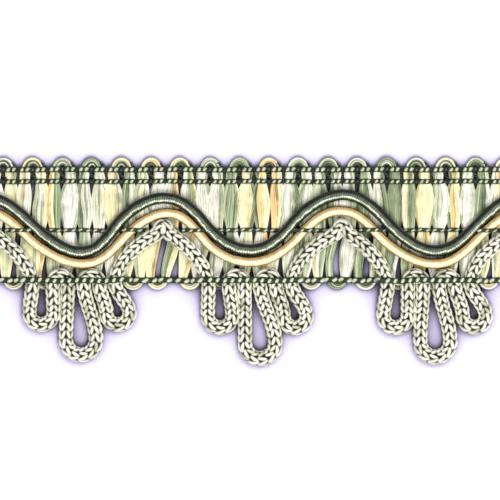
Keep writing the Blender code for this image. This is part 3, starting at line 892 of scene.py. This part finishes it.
def floss_loops(store):
    """The thin strands of the loops along both edges, nested from outside in."""
    places = leg_places()
    for loop in range(LOOP_COUNT):
        left = places[0, 2 * loop] - TOP_LOOP_SHOULDER
        right = places[0, 2 * loop + 1] + TOP_LOOP_SHOULDER
        nested_strands(TOP_LOOPS[loop], left, right, ROW_Y[0] - 0.1, TOP_LOOP_TOP, store)
    for loop in range(LOOP_COUNT - 1):
        left = places[3, 2 * loop + 1] - LOW_LOOP_SHOULDER
        right = places[3, 2 * loop + 2] + LOW_LOOP_SHOULDER
        nested_strands(LOW_LOOPS[loop], left, right, ROW_Y[3] + 0.1, BOTTOM_LOOP_LOW, store)


def nested_strands(letters, left, right, spring_y, reach_y, store):
    """One loop's strands, each a little further in and lower than the one before, the
    outermost thicker than the others and the olive ones lower still."""
    for ring, letter in enumerate(letters):
        inset = STRAND_INSET + STRAND_STEP * ring + rng.uniform(-0.04, 0.04)
        line = arch_line(left, right, spring_y, reach_y, inset)
        line[:, 0] += rng.uniform(-0.10, 0.10)
        line[:, 2] += rng.uniform(-0.05, 0.10) - STRAND_DROP * (ring + (letter == "d"))
        half = np.full(len(line), OUTER_STRAND_HALF if ring == 0 else STRAND_HALF)
        lock_grids(letter, line, half, half * 1.2, LOOP_FIBRE_SPACING, store)


def make_floss():
    """One piece for each colour of floss; together they stand for the weft."""
    store = {letter: [] for letter in FLOSS}
    floss_legs(store)
    floss_loops(store)
    for letter, grids in store.items():
        floss = FLOSS[letter]
        name = "floss_" + floss.name
        # Floss is painted darker lower down, to 0.35 of its colour at 0.45 mm: painted shade
        finish = thread_finish(name, floss.light, floss.shade, FLOSS_ROUGHNESS,
                               depth=(0.45, 0.95, 0.35))
        nodes = ("weft",) if letter == "w" else ()
        dress(grid_mesh(name, *zip(*grids), finish=finish), "floss", *nodes)


def make_warp(cords):
    """Four rows on the face, each a dark yarn with two light plies that bulge over it two
    times at every leg, and in the two upper rows between the legs too, and four rows of
    two-ply yarn on the back. Row 3 rises over the gold cord only."""
    # The light plies are painted darker beside their crowns and nearly black below 1.2 mm, where they
    # dip between legs: painted shade
    sage = thread_finish("sage_yarn", *THREADS["sage_yarn"], groove=0.02, crown=0.05,
                         depth=(1.20, 1.60, 0.05))
    dark = thread_finish("dark_yarn", *THREADS["dark_yarn"], gloss=0.15)
    places = leg_places()
    x = np.linspace(-HALF_LENGTH, HALF_LENGTH, WARP_POINTS)
    cores = []
    for row, row_y in enumerate(ROW_Y):
        legs, ply, apart = places[row], ROW_PLIES[row], ROW_BULGES[row]
        marks = [legs - apart, legs + apart]
        if row < 2:
            marks.append((legs[:-1] + legs[1:]) / 2)
        height = row_height(x, row_y, cords[1:2] if row == 2 else cords, legs)
        wander = 0.05 * np.sin(x / 3.1 + row) + 0.03 * row * np.sin(x / 1.3 + 2.0)
        path = np.stack([x, row_y + wander, height], axis=1)
        turn = bead_turn(x, np.sort(np.concatenate(marks)))
        face = twisted(path, UP, ply, PLY_OFFSET * ply, turn, PLY_WAIST)
        flat = np.ones(len(x))
        level = np.stack([x, row_y * flat, BACK_YARN_HEIGHT * flat], axis=1)[::3]
        back = twisted(level, UP, BACK_YARN.ply, BACK_YARN.offset,
                       steady_turn(level, BACK_YARN.pitch, row))
        dress(grid_mesh(f"warp_row_{row + 1}", [face, back], finish=sage), "sage_yarn",
              f"warp_{row + 1}_face", f"warp_{row + 1}_back")
        half = np.full((1, len(path[::2])), ply)
        cores.append(strand_surface(path[None, ::2], UP, DARK_WIDE * half, DARK_HIGH * half, 8))
    dress(grid_mesh("warp_dark_yarns", cores, finish=dark), "sage_yarn")


def make_links():
    """The yarn that steps from row to row: over each top loop's right shoulder and
    slantwise across the hole inside it."""
    # Painted shade in the grooves between the plies
    finish = thread_finish("link_yarn", *THREADS["link_yarn"], groove=0.3, gloss=0.2)
    grids = []
    for loop in range(LOOP_COUNT):
        for points in (LINK_SHOULDER, LINK_ACROSS):
            route = np.array(points)
            route[:, 0] += FIRST_LOOP_X + LOOP_PITCH * loop
            smooth = even_line(rounded(route), LINK_STEP)
            turn = steady_turn(smooth, LINK_YARN.pitch, loop)
            grids.append(twisted(smooth, UP, LINK_YARN.ply, LINK_YARN.offset, turn))
    dress(grid_mesh("link_yarns", grids, finish=finish), "sage_yarn")


def rounded(route, steps=10):
    """A smooth line through a route's points, each pull along its neighbours' chord."""
    pulls = np.gradient(route, axis=0)
    runs = [hermite(route[n], pulls[n], route[n + 1], pulls[n + 1], steps)
            for n in range(len(route) - 1)]
    return np.vstack(runs + [route[-1:]])


def make_gimp(green_line, gold_line):
    """The two wrapped cords."""
    green = wrapped_cord("green_wrapped_cord", green_line, GREEN_RADIUS, GREEN_STOPS, GREEN_GLOW)
    dress(green, "green_gimp", "green_gimp_cord")
    gold = wrapped_cord("gold_wrapped_cord", gold_line, GOLD_RADIUS, GOLD_STOPS, GOLD_GLOW)
    dress(gold, "gold_gimp", "gold_gimp_cord")


def make_knit(line):
    """The stitches of the knitted cord and a near-black core inside them, which paints the shade in the
    holes between stitches.
    """
    # The arms are painted darker beside their crowns and nearly black at their ends, where they sink
    # into the cord: painted shade
    cream = thread_finish("knit_yarn", *THREADS["knit_yarn"], groove=0.40, crown=0.07, ends=0.05)
    olive = thread_finish("knit_shade_core", *THREADS["knit_shade_core"], gloss=0.1)
    dress(grid_mesh("knitted_stitches", [knit_arms(line)], finish=cream), "knit", "knitted_cord")
    path = even_line(line, 0.5)
    across = np.full((1, len(path)), KNIT_HALF_ACROSS - KNIT_SHADE_CORE_INSET)
    upward = np.full((1, len(path)), KNIT_HALF_UP - KNIT_SHADE_CORE_INSET)
    core = strand_surface(path[None], UP, across, upward, 12)
    dress(grid_mesh("knitted_shade_core", [core], finish=olive), "knit")


def soft_light(name, azimuth, elevation, distance, size, power, color):
    """A square soft light that looks at the trim from this side and height."""
    data = bpy.data.lights.new(name, "AREA")
    data.shape = "SQUARE"
    data.size = size
    data.energy = power
    data.color = color
    light = bpy.data.objects.new(name, data)
    a, e = np.radians(azimuth), np.radians(elevation)
    place = Vector((np.cos(a) * np.cos(e), np.sin(a) * np.cos(e), np.sin(e))) * distance
    light.location = place
    light.rotation_mode = "QUATERNION"
    light.rotation_quaternion = (-place).to_track_quat("-Z", "Y")
    bpy.context.scene.collection.objects.link(light)


def make_studio():
    """White floor with a painted shadow that turns it violet and dark close beside the trim, a strong
    soft light from the side of the long loops, a weaker one across from it, and a pale sky."""
    finish, nodes, links, shader = shader_nodes("floor_paper")
    # Painted shadow: the floor is darker the more the trim closes it in within 10 mm
    nearness = nodes.new("ShaderNodeAmbientOcclusion")
    nearness.samples = 16
    nearness.inputs["Distance"].default_value = 10.0 * MM
    paper = color_ramp(nodes, links, nearness.outputs["AO"], FLOOR_SHADOW_STOPS)
    links.new(paper, shader.inputs["Base Color"])
    shader.inputs["Roughness"].default_value = 0.9
    mesh = bpy.data.meshes.new("floor")
    half = 1.5
    corners = [(-half, -half, 0), (half, -half, 0), (half, half, 0), (-half, half, 0)]
    mesh.from_pydata(corners, [], [(0, 1, 2, 3)])
    mesh.materials.append(finish)
    floor = bpy.data.objects.new("floor", mesh)
    floor.location.z = -0.00002
    bpy.context.scene.collection.objects.link(floor)
    soft_light("key_light", azimuth=-78, elevation=67, distance=0.8, size=0.34, power=5.6,
               color=(1.0, 0.98, 0.95))
    soft_light("fill_light", azimuth=55, elevation=64, distance=0.8, size=0.30, power=2.6,
               color=(1.0, 0.98, 0.96))
    world = bpy.data.worlds.new("pale_sky")
    world.use_nodes = True
    sky = world.node_tree.nodes["Background"]
    sky.inputs["Color"].default_value = (0.78, 0.75, 1.0, 1.0)
    sky.inputs["Strength"].default_value = 0.34
    bpy.context.scene.world = world
    bpy.context.scene.view_settings.view_transform = "Standard"


def make_camera():
    """Straight above, with a long lens that frames the photo's width at the trim's face."""
    data = bpy.data.cameras.new("camera")
    data.sensor_width = 36.0
    data.lens = data.sensor_width * (CAMERA_HEIGHT - FACE_HEIGHT * MM) / (PHOTO_WIDTH * MM)
    data.clip_start, data.clip_end = 0.01, 10.0
    camera = bpy.data.objects.new("camera", data)
    camera.location = (PHOTO_MIDDLE[0] * MM, PHOTO_MIDDLE[1] * MM, CAMERA_HEIGHT)
    bpy.context.scene.collection.objects.link(camera)
    bpy.context.scene.camera = camera


def make_trim():
    """All pieces of the trim."""
    green_flat, gold_flat, knit_flat = wave_line(GREEN_WAVE), wave_line(GOLD_WAVE), knitted_line()
    cords = (
        (green_flat, GREEN_RADIUS, 2 * GREEN_RADIUS),
        (gold_flat, GOLD_RADIUS, 2 * GOLD_RADIUS),
        (knit_flat, KNIT_HALF_ACROSS, 2 * KNIT_HALF_UP),
    )
    make_floss()
    make_warp(cords)
    make_links()
    green = np.column_stack([green_flat, np.full(len(green_flat), FACE_LEVEL + GREEN_RADIUS)])
    gold = np.column_stack([gold_flat, np.full(len(gold_flat), FACE_LEVEL + GOLD_RADIUS)])
    make_gimp(green, gold)
    make_knit(raised(knit_flat, KNIT_HALF_UP))


make_camera()
make_studio()
make_trim()
